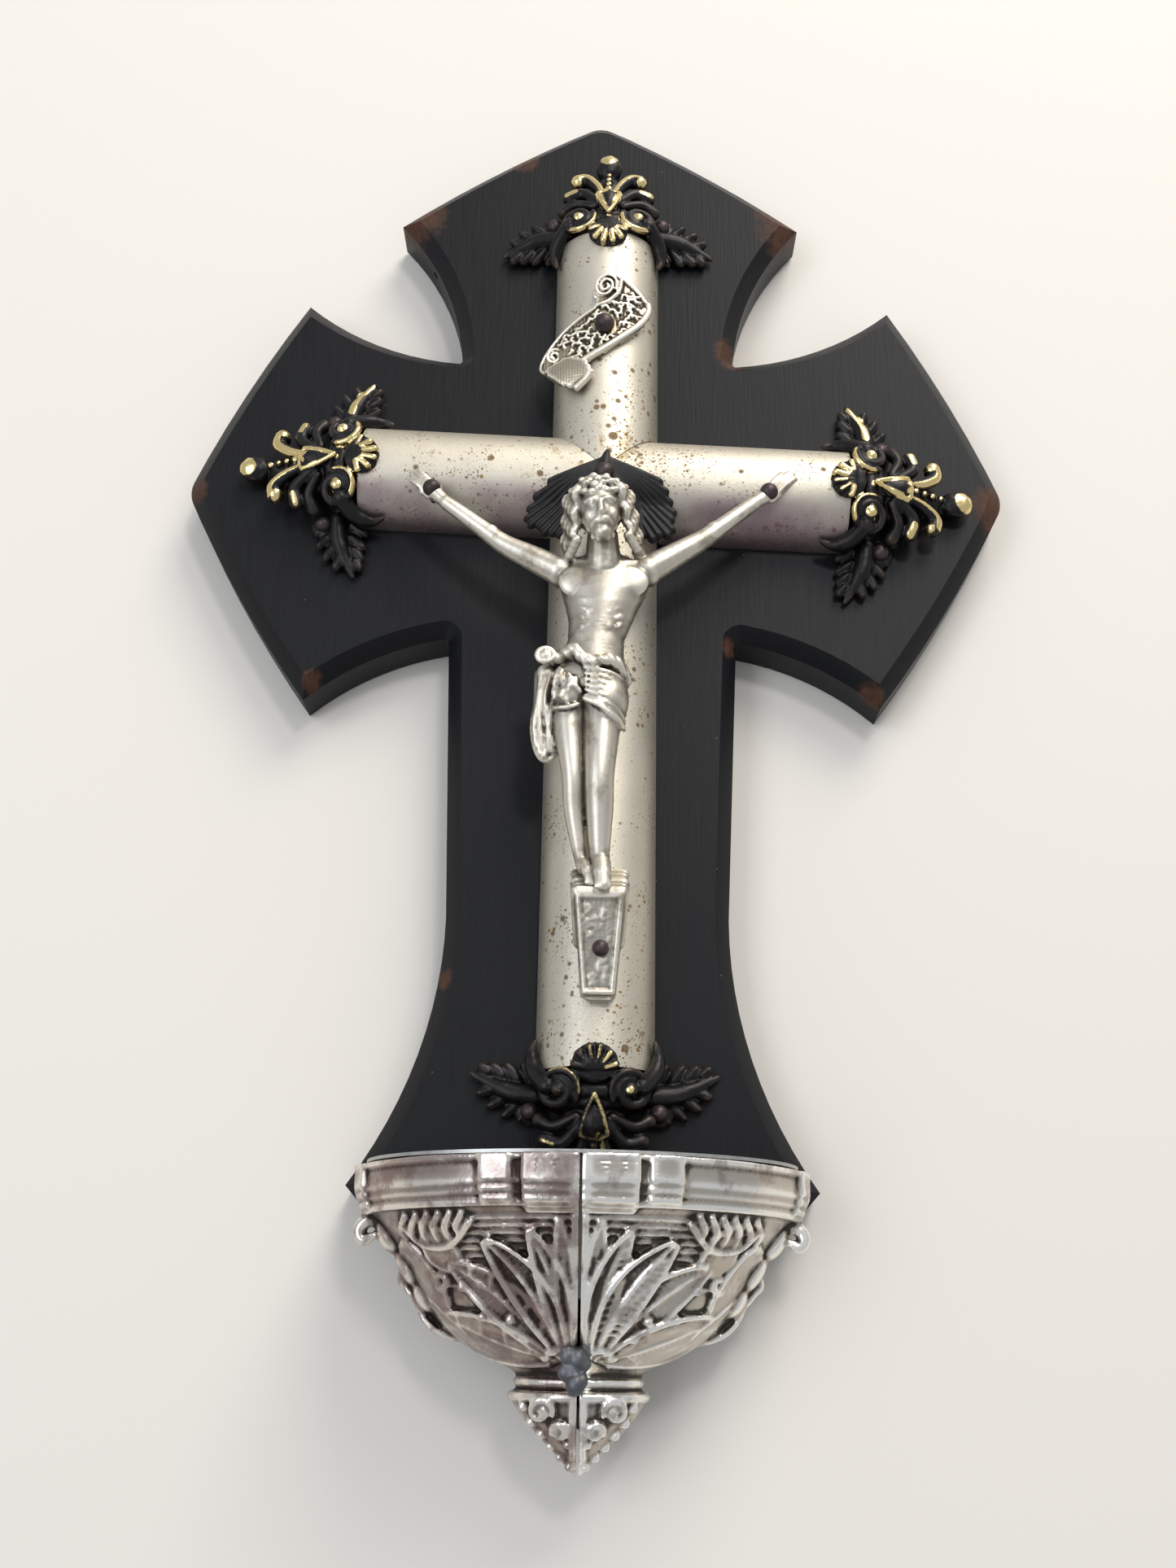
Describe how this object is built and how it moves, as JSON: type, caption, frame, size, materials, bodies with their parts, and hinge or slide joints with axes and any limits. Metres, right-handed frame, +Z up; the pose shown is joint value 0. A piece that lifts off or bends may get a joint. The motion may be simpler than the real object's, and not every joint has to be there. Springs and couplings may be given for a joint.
{
  "type": "wall crucifix with holy-water font",
  "caption": "Black wooden cross with flared pointed arms, a cross of silvered half-round tube with cast end ornaments, a cast figure and a half-bowl water font below.",
  "frame": {"origin": "on the flat back of the board, where the stem and the arms cross", "axes": "+Z up the stem, +X to the right seen from the front, +Y out of the back towards the wall"},
  "size_m": [0.1786, 0.047, 0.298],
  "materials": {
    "ebonised_wood": "black stained and hand rubbed, worn brown at the edges",
    "silvered_sheet": "worn silver plate, satin, pitted",
    "blackened_brass": "black patina with rubbed gilt edges",
    "silvered_casting": "silvered white metal, bright with dark hollows",
    "dark_nail": "oxidised, satin",
    "blackened_plate": "matt black patina",
    "solder": "dull grey, rough",
    "screw_steel": "plain turned steel",
    "hanger_brass": "aged plain brass",
    "liner_metal": "tinned sheet"
  },
  "bodies": {
    "crucifix": {"back_board": "ebonised_wood", "tube_upper": "silvered_sheet", "tube_lower": "silvered_sheet", "tube_left": "silvered_sheet", "tube_right": "silvered_sheet", "finial_upper": "blackened_brass", "finial_lower": "blackened_brass", "finial_left": "blackened_brass", "finial_right": "blackened_brass", "finial_nails": "dark_nail", "hand_nails": "dark_nail", "footrest_nail": "dark_nail", "scroll_nail": "dark_nail", "leaf_nail": "dark_nail", "leaf_plate": "blackened_plate", "title_scroll": "silvered_casting", "corpus": "silvered_casting", "footrest": "silvered_casting", "font_left_half": "silvered_casting", "font_right_half": "silvered_casting", "font_solder": "solder", "font_screws": "screw_steel", "hanger_strap": "hanger_brass", "hanger_screws": "screw_steel"},
    "liner": {"font_liner": "liner_metal"},
    "ring": {"hanger_ring": "hanger_brass"}
  },
  "joints": [
    {"name": "liner_lift", "type": "slide", "parent": "crucifix", "child": "liner", "axis": [0, -0.342, 0.9397], "range_m": [0, 0.045]},
    {"name": "ring_swing", "type": "hinge", "parent": "crucifix", "child": "ring", "pos_m": [0, -0.0023, 0.064], "axis": [1, 0, 0], "range_deg": [0, 180]}
  ]
}
